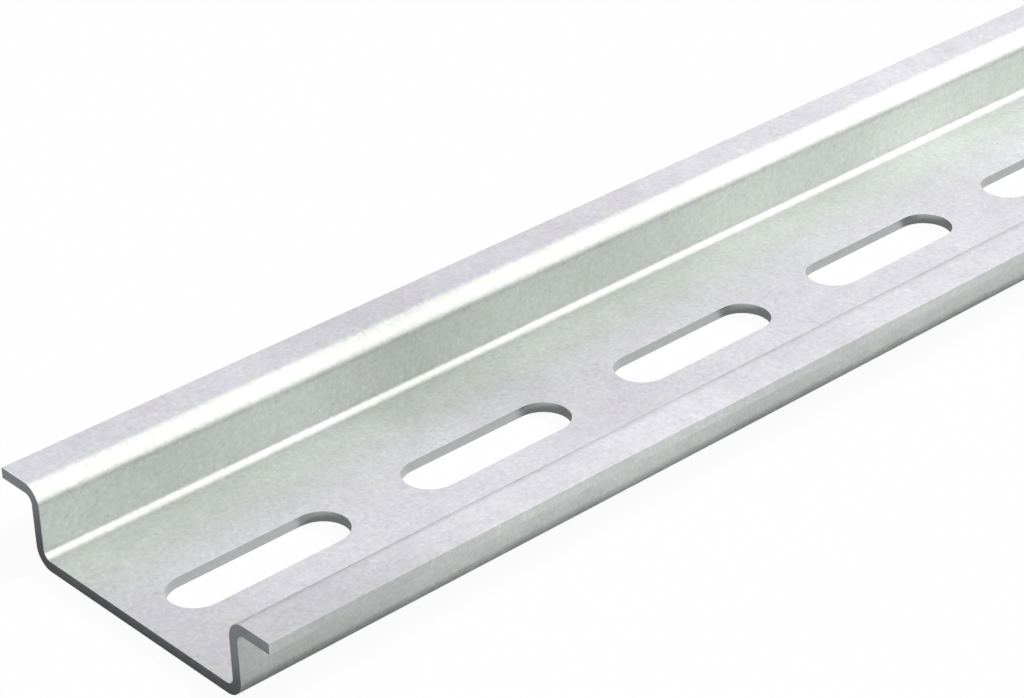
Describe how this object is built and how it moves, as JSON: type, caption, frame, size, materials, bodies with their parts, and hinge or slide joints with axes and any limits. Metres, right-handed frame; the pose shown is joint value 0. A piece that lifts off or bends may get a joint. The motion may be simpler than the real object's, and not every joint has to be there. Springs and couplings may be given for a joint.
{
  "type": "din rail",
  "caption": "Slotted top-hat rail of bent zinc-plated steel strip, with outward flanges that hold clip-on devices and a row of round-ended screw slots along its floor.",
  "frame": {"origin": "middle of the rail's length and width, on the plane of its back face, which lies on the floor or panel", "axes": "+X along the rail, +Y across it, +Z from the back face up to the flange tops"},
  "size_m": [1, 0.035, 0.0075],
  "materials": {
    "zinc_steel": "bright zinc plating on cold-rolled steel strip, satin with a fine mottle, duller on the cut ends"
  },
  "bodies": {
    "root": {"rail": "zinc_steel"}
  },
  "joints": []
}
